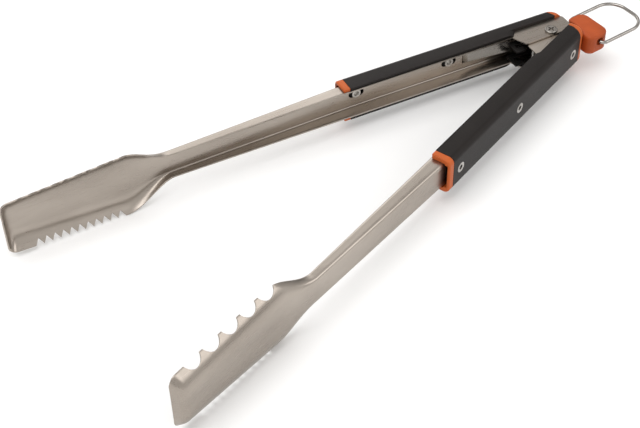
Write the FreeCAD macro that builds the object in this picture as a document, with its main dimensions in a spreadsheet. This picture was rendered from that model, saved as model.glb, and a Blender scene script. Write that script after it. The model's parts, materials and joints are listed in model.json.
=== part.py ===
import FreeCAD, Part
import math
import os
import Sketcher
from FreeCAD import Placement, Rotation, Vector

# Spring-loaded kitchen tongs. Millimetres, +Z up along the pivot axis, jaw tips towards -X.
#
# Each arm is drawn in its own frame, with the pivot axis at the origin:
#   u  along the arm from the pivot towards the jaw tip (drawn towards -X)
#   v  away from the other arm, square to the arm (drawn towards +Y for arm a, -Y for arm b)
#   w  along the pivot axis (+Z)
# A rotation of half the opening angle then swings the arm into its open rest position.

# How finely the flare and the lip are followed, and how many bites each rim has.
FLARE_STEPS = 12
LIP_STEPS = 6
LIP_SHARES = (0.5, 0.85, 1.0)
SCALLOPS = 5
TEETH = 11

# Cutters reach this far: across a jaw from its hollow side to its back, and past a handle.
JAW_INSIDE = -14.0
JAW_OUTSIDE = 16.0
ASIDE = 60.0
AHEAD = 200.0

ARM_A = 1
ARM_B = -1
LETTER = {ARM_A: "a", ARM_B: "b"}

SIZES = {
    # opening and sheet metal
    "HalfOpening": 13.16,
    "Sheet": 1.0,
    "HalfWidthA": 11.3,
    "HalfWidthB": 10.0,
    "WebOuter": 15.9,
    "FlangeEdge": 5.4,
    "BendRadius": 2.2,
    "WebRear": -12.0,
    "KneeAlong": 151.0,
    # neck, where the channel flares into the jaw
    "NeckAlong": 286.0,
    "NeckHalf": 9.9,
    "NeckBack": 10.5,
    "NeckEdge": 4.2,
    # jaw
    "LobeAlong": 320.0,
    "LobeHalf": 24.8,
    "LobeEdge": 0.9,
    "JawHalf": 21.2,
    "JawEdge": -2.4,
    "LobeBack": 8.2,
    "JawBack": 5.7,
    "CurlLean": 50.0,
    "CurlRadius": 15.0,
    "LipStart": 393.8,
    "LipRadius": 7.0,
    "LipLean": 72.0,
    "TipCorner": 6.0,
    "ScallopFirst": 382.9,
    "ScallopPitch": 15.05,
    "ScallopRadius": 6.2,
    "ScallopDepth": 3.9,
    "ToothFirst": 378.5,
    "ToothPitch": 5.56,
    "ToothDepth": 2.9,
    "ToothReach": 3.0,
    # ears around the pivot
    "EarFront": 28.0,
    "EarNose": 23.0,
    "EarDip": -5.4,
    "EarHeel": -7.2,
    "EarHeelDip": -4.25,
    "EarRear": -16.6,
    "EarRearLow": 0.0,
    "EarRearHigh": 10.7,
    "EarCorner": 3.0,
    # pivot
    "PivotRadius": 3.0,
    "PivotClearance": 0.05,
    "PivotHeadRadius": 4.6,
    "PivotHeadHeight": 1.6,
    "PivotHeadRim": 0.9,
    "ScrewRadius": 1.9,
    "RecessWidth": 1.1,
    "RecessLength": 4.4,
    "RecessDepth": 1.0,
    "BushRadius": 5.0,
    "BushHalf": 8.8,
    # handle covers
    "GripHalf": 13.5,
    "GripBack": 20.2,
    "GripEdge": 5.9,
    "GripFront": 156.0,
    "TrimFront": 161.0,
    "GripRear": -10.4,
    "TrimRear": -15.8,
    "RearRound": 8.5,
    "RearStepAlong": -6.5,
    "RearStepOut": 12.0,
    "NotchAlong": 22.0,
    "NotchFoot": 26.5,
    "NotchOutA": 11.0,
    "NotchOutB": 7.8,
    "GripRound": 4.2,
    "FrontRound": 1.2,
    "CoverFit": 0.05,
    "ReliefOut": 18.1,
    "ReliefRear": -5.0,
    "BossRadius": 4.4,
    # rivets through cover and web
    "RivetFront": 147.2,
    "RivetMiddle": 74.0,
    "RivetRear": 1.8,
    "RivetHead": 3.75,
    "RivetHeadHeight": 1.1,
    "RivetBody": 2.6,
    "RivetHole": 1.75,
    "RivetFlare": 3.3,
    "RivetFlareHeight": 0.7,
    "SlotHalf": 5.8,
    "SlotHalfWidth": 2.75,
    # leaf spring
    "LeafThickness": 0.8,
    "LeafHalf": 4.7,
    "LeafWrap": 6.4,
    "LeafSlotFront": 63.0,
    "LeafSlotRear": 57.6,
    "LeafSlotHalf": 5.1,
    "LeafEndAlong": 62.0,
    "LeafEndOut": 17.2,
    "LeafTurnAlong": 58.6,
    "LeafTurnOut": 13.9,
    "LeafMiddleAlong": 39.5,
    "LeafMiddleOut": 12.6,
    "LeafShoulderAlong": 16.0,
    "LeafShoulderOut": 9.8,
    "LeafTightBend": 1.6,
    "LeafSoftBend": 60.0,
    # lock plates
    "PlateLow": 5.1,
    "PlateSheet": 1.2,
    "PlateTail": -33.5,
    "PlateTailHalf": 5.0,
    "PlateBodyRear": -8.0,
    "PlateBodyFront": 13.0,
    "PlateBodyHalf": 7.0,
    "PlateShoulder": 14.4,
    "PlateShoulderFront": 10.0,
    "PlateShoulderRear": -6.0,
    "LockTravel": 6.0,
    "GuideFit": 0.1,
    "ShankLow": 3.4,
    "ShankHigh": 7.2,
    "HookFront": 31.0,
    "HookInner": 28.0,
    "HookBeak": 23.5,
    "HookBeakTop": -0.6,
    "HookBottom": -5.2,
    "CatchAlong": 20.0,
    "CatchOut": -1.5,
    "CatchRadius": 1.5,
    # lock tab and hanging loop
    "TabAlong": -28.85,
    "TabOut": -2.9,
    "TabTurn": 8.36,
    "TabHalfWidth": 14.2,
    "TabRear": 9.3,
    "TabFront": -9.5,
    "TabHigh": 7.6,
    "TabLow": -6.9,
    "TabHollow": 22.7,
    "TabCorner": 6.5,
    "TabFrontCorner": 5.0,
    "TabNose": 3.0,
    "TabSoft": 1.6,
    "DowelRadius": 1.5,
    "DowelAlong": -27.0,
    "LoopHigh": 2.0,
    "WireRadius": 1.25,
    "LoopHalf": 17.6,
    "LoopInner": 8.5,
    "LoopFar": 42.4,
    "LoopNearBend": 4.0,
    "LoopFarBend": 13.5,
    "HoleRecess": 3.0,
    "HoleRecessDepth": 1.6,
    "BoreSpare": 0.3,
}

os.makedirs("parts", exist_ok=True)
doc = FreeCAD.newDocument("tongs")
sheet = doc.addObject("Spreadsheet::Sheet", "Dims")
for row, (alias, number) in enumerate(SIZES.items(), start=1):
    sheet.set("A%d" % row, alias)
    sheet.set("B%d" % row, str(number))
    sheet.setAlias("B%d" % row, alias)
doc.recompute()


class Size:
    """A length that keeps the spreadsheet expression it is worked out from."""

    def __init__(self, value, text):
        self.value = value
        self.text = text

    def join(self, other, sign, result):
        return Size(result, "(%s %s %s)" % (self.text, sign, size(other).text))

    def __add__(self, other):
        return self.join(other, "+", self.value + size(other).value)

    def __sub__(self, other):
        return self.join(other, "-", self.value - size(other).value)

    def __mul__(self, other):
        return self.join(other, "*", self.value * size(other).value)

    def __neg__(self):
        return self * -1


def size(item):
    """A spreadsheet cell by its alias, or a plain number, as a Size."""
    if isinstance(item, Size):
        return item
    if isinstance(item, str):
        return Size(float(sheet.get(item)), "Dims." + item)
    return Size(float(item), repr(float(item)))


def number(alias):
    return size(alias).value


# ---------------------------------------------------------------- sketch and feature helpers


def new_body(name):
    body = doc.addObject("PartDesign::Body", name)
    body.Label = name
    return body


def sketch_on(body, role, offset=None):
    """An empty sketch on one of the body's own origin planes, moved along its normal."""
    plane = next(item for item in body.Origin.OriginFeatures if item.Role == role)
    sketch = body.newObject("Sketcher::SketchObject", body.Name + "_sketch")
    sketch.AttachmentSupport = (plane, "")
    sketch.MapMode = "FlatFace"
    if offset is not None:
        sketch.AttachmentOffset = Placement(Vector(0, 0, size(offset).value), Rotation())
        sketch.setExpression("AttachmentOffset.Base.z", size(offset).text)
    return sketch


def fix_point(sketch, geometry, position, point):
    """Tie one sketch point to its two spreadsheet expressions."""
    for kind, item in zip(("DistanceX", "DistanceY"), point):
        rule = Sketcher.Constraint(kind, -1, 1, geometry, position, item.value)
        index = sketch.addConstraint(rule)
        sketch.setExpression("Constraints[%d]" % index, item.text)


def polygon(body, role, points, offset=None):
    """A sketch of a closed outline with straight sides, its corners tied to the sizes."""
    sketch = sketch_on(body, role, offset)
    corners = [(size(across), size(up)) for across, up in points]
    count = len(corners)
    for index, (across, up) in enumerate(corners):
        onward = corners[(index + 1) % count]
        start = Vector(across.value, up.value, 0)
        end = Vector(onward[0].value, onward[1].value, 0)
        sketch.addGeometry(Part.LineSegment(start, end), False)
    for index in range(count):
        following = (index + 1) % count
        sketch.addConstraint(Sketcher.Constraint("Coincident", index, 2, following, 1))
    for index, corner in enumerate(corners):
        fix_point(sketch, index, 1, corner)
    return sketch


def circles(body, role, centres, radius, offset=None):
    """A sketch of equal circles, their centres and radii tied to the sizes."""
    sketch = sketch_on(body, role, offset)
    radius = size(radius)
    for across, up in centres:
        centre = (size(across), size(up))
        middle = Vector(centre[0].value, centre[1].value, 0)
        index = sketch.addGeometry(Part.Circle(middle, Vector(0, 0, 1), radius.value), False)
        fix_point(sketch, index, 3, centre)
        rule = sketch.addConstraint(Sketcher.Constraint("Radius", index, radius.value))
        sketch.setExpression("Constraints[%d]" % rule, radius.text)
    return sketch


def symmetric_feature(kind, body, sketch, length):
    feature = body.newObject("PartDesign::" + kind, "%s_%s" % (body.Name, kind.lower()))
    feature.Profile = sketch
    feature.SideType = "Symmetric"
    feature.Length = size(length).value
    feature.setExpression("Length", size(length).text)
    sketch.Visibility = False
    doc.recompute()
    return feature


def pad(body, sketch, length):
    """Material to both sides of the sketch, length in all."""
    return symmetric_feature("Pad", body, sketch, length)


def pocket(body, sketch, length):
    """Cut to both sides of the sketch; stop if nothing was removed."""
    before = body.Shape.Volume
    feature = symmetric_feature("Pocket", body, sketch, length)
    if body.Shape.Volume > before - 1e-3:
        raise RuntimeError("a pocket in %s cuts nothing" % body.Label)
    return feature


def soften(body, radius, chosen):
    """Round those edges of the body's last feature that the test picks."""
    base = body.Tip
    names = []
    for index, edge in enumerate(base.Shape.Edges, start=1):
        if chosen(edge):
            names.append("Edge%d" % index)
    if not names:
        raise RuntimeError("no edge to round in %s" % body.Label)
    feature = body.newObject("PartDesign::Fillet", body.Name + "_fillet")
    feature.Base = (base, names)
    feature.Radius = size(radius).value
    feature.setExpression("Radius", size(radius).text)
    doc.recompute()
    return feature


def shape_feature(name, shape):
    feature = doc.addObject("Part::Feature", name)
    feature.Shape = shape
    feature.Label = name
    return feature


def near(value, target):
    return abs(value - target) < 1e-4


def runs_along_z(edge):
    box = edge.BoundBox
    return box.XLength < 1e-4 and box.YLength < 1e-4


# ---------------------------------------------------------------- sheet-metal arms


def half_width(side):
    return "HalfWidthA" if side == ARM_A else "HalfWidthB"


def arm_point(side, along, out, up):
    return Vector(-along, side * out, up)


def smooth(value):
    value = min(max(value, 0.0), 1.0)
    return value * value * (3 - 2 * value)


def between(start, end, share):
    return start + (end - start) * share


def jaw_section(side, along):
    """Half width, back, edge, bend radius and lean of the sheet at one distance along."""
    straight = (along - number("KneeAlong")) / (number("NeckAlong") - number("KneeAlong"))
    if straight <= 1:
        half = between(number(half_width(side)), number("NeckHalf"), straight)
        back = between(number("WebOuter"), number("NeckBack"), straight)
        edge = between(number("FlangeEdge"), number("NeckEdge"), straight)
        return half, back, edge, number("BendRadius"), 90.0
    flare = (along - number("NeckAlong")) / (number("LobeAlong") - number("NeckAlong"))
    if flare <= 1:
        share = smooth(flare)
        half = between(number("NeckHalf"), number("LobeHalf"), share)
        back = between(number("NeckBack"), number("LobeBack"), flare)
        edge = between(number("NeckEdge"), number("LobeEdge"), flare)
        radius = between(number("BendRadius"), number("CurlRadius"), share)
        lean = between(90.0, number("CurlLean"), share)
        return half, back, edge, radius, lean
    jaw = (along - number("LobeAlong")) / (number("LipStart") - number("LobeAlong"))
    half = between(number("LobeHalf"), number("JawHalf"), jaw)
    back = between(number("LobeBack"), number("JawBack"), jaw)
    edge = between(number("LobeEdge"), number("JawEdge"), jaw)
    return half, back, edge, number("CurlRadius"), number("CurlLean")


def profile(half, back, edge, radius, lean):
    """(up, drop, turn) over the outer face of a section, from the lower rim to the upper rim.

    The sheet is flat behind, bends through the lean angle, and runs straight to its rim.
    """
    angle = math.radians(lean)
    depth = back - edge
    straight = (depth - radius * (1 - math.cos(angle))) / math.sin(angle)
    flat = half - radius * math.sin(angle) - straight * math.cos(angle)
    upper = [(flat, 0.0, 0.0)]
    for turn in (angle / 2, angle):
        upper.append((flat + radius * math.sin(turn), radius * (1 - math.cos(turn)), turn))
    upper.append((half, depth, angle))
    lower = [(-up, drop, -turn) for up, drop, turn in reversed(upper)]
    return lower + upper


def sheet_row(side, along, section, fall=0.0):
    """(point, direction across) over the outer face at one distance along.

    The fall is how far the back has already turned down into the lip at the tip.
    """
    half, back, edge, radius, lean = section
    depth = back - edge
    kept = 1 - fall / depth
    row = []
    for up, drop, turn in profile(half, back, edge, radius, lean):
        out = edge + (depth - drop) * kept
        across = Vector(0, -side * math.sin(turn) * kept, math.cos(turn))
        row.append((arm_point(side, along, out, up), across))
    return row


def lip_stations():
    """(along, fall) down the lip that closes the jaw at its tip."""
    start = number("LipStart")
    bend = number("LipRadius")
    full = math.radians(number("LipLean"))
    depth = number("JawBack") - number("JawEdge")
    path = []
    for step in range(1, LIP_STEPS + 1):
        turn = full * step / LIP_STEPS
        path.append((start + bend * math.sin(turn), bend * (1 - math.cos(turn))))
    last_along, last_fall = path[-1]
    run = (depth - last_fall) / math.sin(full)
    for share in LIP_SHARES:
        fall = last_fall + run * share * math.sin(full)
        path.append((last_along + run * share * math.cos(full), fall))
    return path


def front_rows(side):
    """Rows over the outer face from the knee to the edge of the lip."""
    stations = [number("KneeAlong"), number("NeckAlong")]
    flare = number("LobeAlong") - number("NeckAlong")
    for step in range(1, FLARE_STEPS + 1):
        stations.append(number("NeckAlong") + flare * step / FLARE_STEPS)
    stations.append(number("LipStart"))
    rows = [sheet_row(side, along, jaw_section(side, along)) for along in stations]
    last = jaw_section(side, number("LipStart"))
    path = lip_stations()
    corner = number("TipCorner")
    for along, fall in path:
        past = max(corner - (path[-1][0] - along), 0.0)
        half = last[0] - corner + math.sqrt(corner ** 2 - past ** 2)
        rows.append(sheet_row(side, along, (half,) + last[1:], fall))
    return rows


def inner_row(rows, index, side):
    """One row moved square to the sheet by its thickness, to the hollow side."""
    middle = len(rows[index]) // 2
    along = Vector(-1, 0, 0)
    if index > 0:
        ahead = rows[min(index + 1, len(rows) - 1)][middle][0]
        along = ahead - rows[index - 1][middle][0]
        along.z = 0
    moved = []
    for point, across in rows[index]:
        normal = across.cross(along) * side
        normal.normalize()
        moved.append(point + normal * number("Sheet"))
    return moved


def straight_edge(start, end):
    return Part.LineSegment(start, end).toShape()


def bent_edge(start, middle, end):
    """Arc through three points, or the straight edge when they stand in one line."""
    chord = end - start
    if chord.cross(middle - start).Length > 0.02 * chord.Length:
        return Part.Arc(start, middle, end).toShape()
    pole = middle * 2 - (start + end) * 0.5
    straight = Part.BezierCurve()
    straight.setPoles([start, pole, end])
    return straight.toShape()


def sheet_outline(outer, inner):
    """The twelve edges round the sheet through eight outer and eight inner points."""
    edges = []
    for face, rim in ((outer, inner[-1]), (inner[::-1], outer[0])):
        edges.append(straight_edge(face[0], face[1]))
        edges.append(bent_edge(*face[1:4]))
        edges.append(straight_edge(face[3], face[4]))
        edges.append(bent_edge(*face[4:7]))
        edges.append(straight_edge(face[6], face[7]))
        edges.append(straight_edge(face[7], rim))
    return edges


def sheet_solid(side, rows):
    """Closed sheet ruled straight from row to row, and closed at both ends."""
    outlines = []
    for index, row in enumerate(rows):
        outer = [point for point, across in row]
        outlines.append(sheet_outline(outer, inner_row(rows, index, side)))
    faces = [Part.Face(Part.Wire(outlines[0])), Part.Face(Part.Wire(outlines[-1]))]
    for behind, ahead in zip(outlines, outlines[1:]):
        for first, second in zip(behind, ahead):
            faces.append(Part.makeRuledSurface(first, second))
    shell = Part.Shell(faces)
    shell.sewShape()
    solid = Part.Solid(shell)
    if solid.Volume < 0:
        solid.reverse()
    return solid


def upright(side, outline, low, high):
    """Prism over an outline given as (along, out) corners, between two heights."""
    points = [arm_point(side, along, out, low) for along, out in outline]
    face = Part.Face(Part.makePolygon(points + points[:1]))
    return face.extrude(Vector(0, 0, high - low))


def through_web(side, outline, near_out, far_out):
    """Prism over an outline given as (along, up) corners, square to the web."""
    points = [arm_point(side, along, near_out, up) for along, up in outline]
    face = Part.Face(Part.makePolygon(points + points[:1]))
    return face.extrude(Vector(0, side * (far_out - near_out), 0))


def ear(side, low, high):
    """One ear: the flange made deeper around the pivot, with rounded corners."""
    outline = [
        (number("EarFront"), number("FlangeEdge")),
        (number("EarNose"), number("EarDip")),
        (number("EarHeel"), number("EarHeelDip")),
        (number("EarRear"), number("EarRearLow")),
        (number("EarRear"), number("EarRearHigh")),
        (number("WebRear"), number("WebOuter") - number("BendRadius")),
        (number("EarFront"), number("WebOuter") - number("BendRadius")),
    ]
    plate = upright(side, outline, low, high)
    rounded = []
    for edge in plate.Edges:
        if not runs_along_z(edge):
            continue
        along = -edge.BoundBox.Center.x
        out = side * edge.BoundBox.Center.y
        if out < number("EarRearHigh") + 1 and along < number("EarFront") - 1:
            rounded.append(edge)
    return plate.makeFillet(number("EarCorner"), rounded)


def scallop_cutters(side):
    """Round bites out of the upper rim."""
    cutters = []
    radius = number("ScallopRadius")
    for index in range(SCALLOPS):
        along = number("ScallopFirst") - number("ScallopPitch") * index
        half = jaw_section(side, along)[0]
        up = half - number("ScallopDepth") + radius
        base = arm_point(side, along, JAW_INSIDE, up)
        reach = JAW_OUTSIDE - JAW_INSIDE
        cutters.append(Part.makeCylinder(radius, reach, base, Vector(0, side, 0)))
    return cutters


def tooth_cutters(side):
    """Straight-sided bites out of the lower rim, which leave pointed teeth."""
    pitch = number("ToothPitch")
    depth = number("ToothDepth")
    reach = number("ToothReach")
    cutters = []
    for index in range(TEETH):
        middle = number("ToothFirst") + pitch * (0.5 - index)
        half = jaw_section(side, middle)[0]
        wide = pitch / 2 * (depth + reach) / depth
        outline = [
            (middle, depth - half),
            (middle - wide, -half - reach),
            (middle + wide, -half - reach),
        ]
        cutters.append(through_web(side, outline, JAW_INSIDE, JAW_OUTSIDE))
    return cutters


def obround(side, along, half_length, half_wide, near_out, far_out):
    """Slot with round ends, drawn along the arm."""
    run = half_length - half_wide
    pieces = [through_web(side, [
        (along - run, -half_wide),
        (along + run, -half_wide),
        (along + run, half_wide),
        (along - run, half_wide),
    ], near_out, far_out)]
    for end in (along - run, along + run):
        base = arm_point(side, end, near_out, 0)
        axis = Vector(0, side, 0)
        pieces.append(Part.makeCylinder(half_wide, far_out - near_out, base, axis))
    return pieces[0].fuse(pieces[1:])


def rivet_stations():
    return ("RivetFront", "RivetMiddle", "RivetRear")


def arm_channel(side):
    """The pressed arm: U channel with ears at the pivot and a scooped jaw at the tip."""
    half = number(half_width(side))
    web = number("WebOuter")
    edge = number("FlangeEdge")
    thick = number("Sheet")
    section = (half, web, edge, number("BendRadius"), 90.0)
    rear = [sheet_row(side, number(along), section) for along in ("WebRear", "KneeAlong")]
    front = sheet_solid(side, front_rows(side))
    bites = scallop_cutters(side) + tooth_cutters(side)
    ears = [ear(side, half - thick, half), ear(side, -half, thick - half)]
    handle = sheet_solid(side, rear).fuse(ears).removeSplitter()
    base = Vector(0, 0, -half - 1)
    bore_radius = number("PivotRadius") + number("PivotClearance")
    cutters = [Part.makeCylinder(bore_radius, 2 * half + 2, base)]
    within = web - 3 * thick
    without = web + thick
    for station in rivet_stations():
        cutters.append(obround(side, number(station), number("SlotHalf"),
                               number("SlotHalfWidth"), within, without))
    reach = number("LeafSlotHalf")
    cutters.append(through_web(side, [
        (number("LeafSlotRear"), -reach),
        (number("LeafSlotFront"), -reach),
        (number("LeafSlotFront"), reach),
        (number("LeafSlotRear"), reach),
    ], within, without))
    return handle.cut(cutters).fuse(front.cut(bites + cutters)).Solids[0]


# ---------------------------------------------------------------- handle covers


def notch_out(side):
    return "NotchOutA" if side == ARM_A else "NotchOutB"


def plan(side, points):
    """Corners given as (along, out) in the axes of an XY sketch."""
    return [(-size(along), size(out) * side) for along, out in points]


def cover_envelope(name, side):
    """The outer form that the cover and its two trims share."""
    body = new_body(name)
    profile = polygon(body, "XY_Plane", plan(side, [
        ("TrimFront", "GripEdge"),
        ("TrimFront", "GripBack"),
        ("TrimRear", "GripBack"),
        ("TrimRear", notch_out(side)),
        ("NotchAlong", notch_out(side)),
        ("NotchFoot", "GripEdge"),
    ]))
    pad(body, profile, size("GripHalf") * 2)
    rear = -number("TrimRear")
    back = side * number("GripBack")

    def rear_corner(edge):
        centre = edge.BoundBox.Center
        return runs_along_z(edge) and near(centre.x, rear) and near(centre.y, back)

    soften(body, "RearRound", rear_corner)
    high = number("GripHalf")

    def back_border(edge):
        box = edge.BoundBox
        flat = near(box.ZMin, box.ZMax) and near(abs(box.ZMin), high)
        low_side = edge.BoundBox.Center.y * side < number("GripBack") - 1e-3
        straight_back = near(box.YMin, box.YMax) and not low_side
        rounded = box.XLength > 1 and box.YLength > 1
        rear_end = near(box.XMin, rear) and near(box.XMax, rear)
        return flat and (straight_back or rounded or rear_end)

    soften(body, "GripRound", back_border)
    return body


def cut_channel_space(body, side):
    """Room for the steel channel, and a shallow hollow over its web."""
    reach = size(half_width(side)) + size("CoverFit")
    depth = size("WebOuter") + size("CoverFit")
    room = polygon(body, "YZ_Plane", [
        (size(-ASIDE) * side, -reach),
        (depth * side, -reach),
        (depth * side, reach),
        (size(-ASIDE) * side, reach),
    ])
    pocket(body, room, 2 * AHEAD)


def cut_relief(body, side, rear):
    """The gap between the web and the back of the moulding."""
    reach = size(half_width(side)) - 1
    hollow = polygon(body, "XY_Plane", plan(side, [
        (AHEAD, "FlangeEdge"),
        (AHEAD, "ReliefOut"),
        (rear, "ReliefOut"),
        (rear, "FlangeEdge"),
    ]))
    pocket(body, hollow, reach * 2)


def rear_seam():
    """Where the cover meets its rear trim, from the open side to the back."""
    return [
        ("GripRear", -ASIDE),
        ("GripRear", "RearStepOut"),
        ("RearStepAlong", "GripBack"),
        ("RearStepAlong", ASIDE),
    ]


def rivet_centres():
    return [(-size(station), size(0)) for station in rivet_stations()]


def grip_cover(side):
    """Black moulding over the back and sides of the channel."""
    name = "grip_%s_cover" % LETTER[side]
    body = cover_envelope(name, side)
    front = polygon(body, "XY_Plane", plan(side, [
        ("GripFront", -ASIDE), (AHEAD, -ASIDE), (AHEAD, ASIDE), ("GripFront", ASIDE),
    ]))
    pocket(body, front, ASIDE)
    rear = polygon(body, "XY_Plane", plan(side, [
        *rear_seam(),
        (-ASIDE, ASIDE),
        (-ASIDE, -ASIDE),
    ]))
    pocket(body, rear, ASIDE)
    cut_channel_space(body, side)
    cut_relief(body, side, "ReliefRear")
    seat = size("WebOuter") + size("CoverFit")
    top = size("ReliefOut") + 0.5
    middle = (seat + top) * 0.5
    bosses = circles(body, "XZ_Plane", rivet_centres(), "BossRadius", -middle * side)
    pad(body, bosses, top - seat)
    holes = circles(body, "XZ_Plane", rivet_centres(), "RivetBody")
    pocket(body, holes, 2 * ASIDE)
    sinks = circles(body, "XZ_Plane", rivet_centres(), "RivetHead", -size("GripBack") * side)
    pocket(body, sinks, size("RivetHeadHeight") * 2)
    return body


def front_trim(side):
    """Orange collar on the front end of the cover."""
    body = cover_envelope("grip_%s_front_trim" % LETTER[side], side)
    behind = polygon(body, "XY_Plane", plan(side, [
        ("GripFront", -ASIDE), (-ASIDE, -ASIDE), (-ASIDE, ASIDE), ("GripFront", ASIDE),
    ]))
    pocket(body, behind, ASIDE)
    cut_channel_space(body, side)
    cut_relief(body, side, 0)
    tip = -number("TrimFront")

    def outer_front(edge):
        box = edge.BoundBox
        centre = box.Center
        flat = near(box.XMin, tip) and near(box.XMax, tip)
        outside = abs(centre.z) > number(half_width(side)) + 1
        over = side * centre.y > number("ReliefOut") + 0.5
        return flat and (outside or over) and edge.Length > 3

    soften(body, "FrontRound", outer_front)
    return body


def rear_trim(side):
    """Orange cap around the rear end of the cover."""
    body = cover_envelope("grip_%s_rear_trim" % LETTER[side], side)
    ahead = polygon(body, "XY_Plane", plan(side, [
        *rear_seam(),
        (AHEAD, ASIDE),
        (AHEAD, -ASIDE),
    ]))
    pocket(body, ahead, ASIDE)
    cut_channel_space(body, side)
    return body


# ---------------------------------------------------------------- rivets, pivot and spring


def out_axis(side):
    return Vector(0, side, 0)


def tube(radius, hole, length, base, axis):
    outer = Part.makeCylinder(radius, length, base, axis)
    return outer.cut(Part.makeCylinder(hole, length, base, axis))


def rivets(side):
    """Three tubular rivets that hold the cover on: head outside, flared end inside."""
    web = number("WebOuter")
    inner = web - number("Sheet")
    head = number("RivetHeadHeight")
    back = number("GripBack")
    hole = number("RivetHole")
    solids = []
    for station in rivet_stations():
        along = number(station)
        axis = out_axis(side)

        def piece(radius, start, end):
            return tube(radius, hole, end - start, arm_point(side, along, start, 0), axis)

        flare = number("RivetFlareHeight")
        rivet = piece(number("RivetBody"), inner - flare, back)
        rivet = rivet.fuse([
            piece(number("RivetHead"), back - head, back),
            piece(number("RivetFlare"), inner - flare, inner),
        ])
        solids.append(rivet.removeSplitter())
    return Part.makeCompound(solids)


def button(sign):
    """Low round head over one ear, with a soft rim."""
    seat = number("HalfWidthA")
    up = Vector(0, 0, sign)
    disc = Part.makeCylinder(number("PivotHeadRadius"), number("PivotHeadHeight"), up * seat, up)
    rims = []
    for edge in disc.Edges:
        if near(abs(edge.BoundBox.ZMin), seat + number("PivotHeadHeight")):
            rims.append(edge)
    return disc.makeFillet(number("PivotHeadRim"), rims)


def pivot_screw():
    """Round head over the upper ear of arm a, with a cross recess, and its threaded shank."""
    seat = number("HalfWidthA")
    head = number("PivotHeadHeight")
    screw = button(1).fuse(Part.makeCylinder(number("ScrewRadius"), seat + 0.5))
    width = number("RecessWidth")
    length = number("RecessLength")
    floor = seat + head - number("RecessDepth")
    for wide, deep in ((width, length), (length, width)):
        corner = Vector(-wide / 2, -deep / 2, floor)
        screw = screw.cut(Part.makeBox(wide, deep, head, corner))
    return screw


def pivot_sleeve():
    """Sleeve nut from below: the axle that both pairs of ears turn on."""
    seat = number("HalfWidthA")
    axle = Part.makeCylinder(number("PivotRadius"), 2 * seat, Vector(0, 0, -seat))
    return button(-1).fuse(axle).cut(Part.makeCylinder(number("ScrewRadius"), seat + 1))


def pivot_bush():
    half = number("BushHalf")
    return tube(number("BushRadius"), number("PivotRadius"), 2 * half, Vector(0, 0, -half),
                Vector(0, 0, 1))


def swing(side):
    return Rotation(Vector(0, 0, 1), -side * number("HalfOpening"))


def rounded_path(points, radii):
    """Wire through the points, each inner corner turned by an arc of its radius."""
    edges = []
    start = points[0]
    for index in range(1, len(points) - 1):
        corner = points[index]
        arriving = (corner - points[index - 1]).normalize()
        leaving = (points[index + 1] - corner).normalize()
        turn = arriving.getAngle(leaving)
        reach = radii[index - 1] * math.tan(turn / 2)
        first = corner - arriving * reach
        last = corner + leaving * reach
        inward = (leaving - arriving).normalize()
        centre = corner + inward * (radii[index - 1] / math.cos(turn / 2))
        middle = centre - inward * radii[index - 1]
        edges.append(Part.LineSegment(start, first).toShape())
        edges.append(Part.Arc(first, middle, last).toShape())
        start = last
    edges.append(Part.LineSegment(start, points[-1]).toShape())
    return edges


def leaf_spring():
    """Bent strip from a slot in one web, around the bush, to the other arm's slot."""
    wrap = number("LeafWrap")
    shoulder = Vector(number("LeafShoulderAlong"), number("LeafShoulderOut"), 0)
    lean = math.atan2(shoulder.y, shoulder.x) + math.acos(wrap / shoulder.Length)
    touch = Vector(wrap * math.cos(lean), wrap * math.sin(lean), 0)
    own = []
    for name in ("LeafEnd", "LeafTurn", "LeafMiddle"):
        own.append(Vector(number(name + "Along"), number(name + "Out"), 0))
    own += [shoulder, touch]
    bends = [number("LeafTightBend"), number("LeafSoftBend"), number("LeafSoftBend")]
    halves = {}
    for side in (ARM_A, ARM_B):
        turned = []
        for point in own:
            turned.append(swing(side).multVec(Vector(-point.x, side * point.y, 0)))
        halves[side] = rounded_path(turned, bends)
    far = Vector(wrap, 0, 0)
    ends = [halves[side][-1].Vertexes[-1].Point for side in (ARM_A, ARM_B)]
    bow = Part.Arc(ends[0], far, ends[1]).toShape()
    path = Part.Wire(halves[ARM_A] + [bow] + halves[ARM_B][::-1])
    thick = number("LeafThickness")
    back = path.makeOffset2D(-thick / 2, 0, False, True)
    band = back.makeOffset2D(thick, 0, True, True)
    high = number("LeafHalf")
    band.translate(Vector(0, 0, -high))
    return band.extrude(Vector(0, 0, 2 * high))


# ---------------------------------------------------------------- lock and hanging loop


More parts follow.
